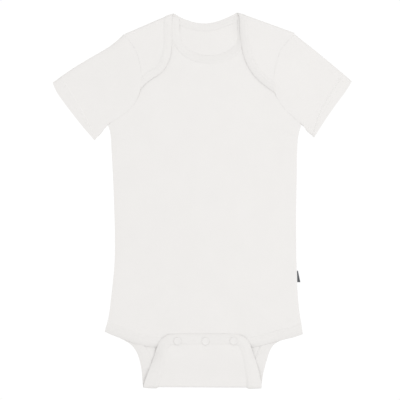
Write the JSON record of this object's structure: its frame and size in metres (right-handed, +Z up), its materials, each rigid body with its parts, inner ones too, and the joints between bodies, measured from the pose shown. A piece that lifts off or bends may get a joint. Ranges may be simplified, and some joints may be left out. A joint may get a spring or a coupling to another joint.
{
  "type": "baby bodysuit",
  "caption": "Short-sleeved baby bodysuit with lap shoulders, bound neck and legs and a snapped crotch tab, laid flat with its front up.",
  "frame": {"origin": "centre of the bounding box's underside: the middle of the laid garment's length and width, on the surface it lies on", "axes": "+X to the right as the garment is seen with its front up and its neck away, +Y from the crotch to the neck, +Z up from the surface, out of the garment's front"},
  "size_m": [0.349, 0.4394, 0.0086],
  "materials": {
    "jersey": "fine white cotton jersey, matt",
    "binding": "white knitted binding, doubled, matt",
    "label": "woven dark grey tape, blank",
    "snap": "white enamelled cap"
  },
  "bodies": {
    "root": {"back_panel": "jersey", "front_panel": "jersey", "sleeve_left": "jersey", "sleeve_right": "jersey", "neck_binding_back": "binding", "neck_binding_front": "binding", "leg_binding_back": "binding", "leg_binding_front": "binding", "side_label": "label", "snap_cap_1": "snap", "snap_cap_2": "snap", "snap_cap_3": "snap", "snap_socket_1": "snap", "snap_socket_2": "snap", "snap_socket_3": "snap"}
  },
  "joints": []
}
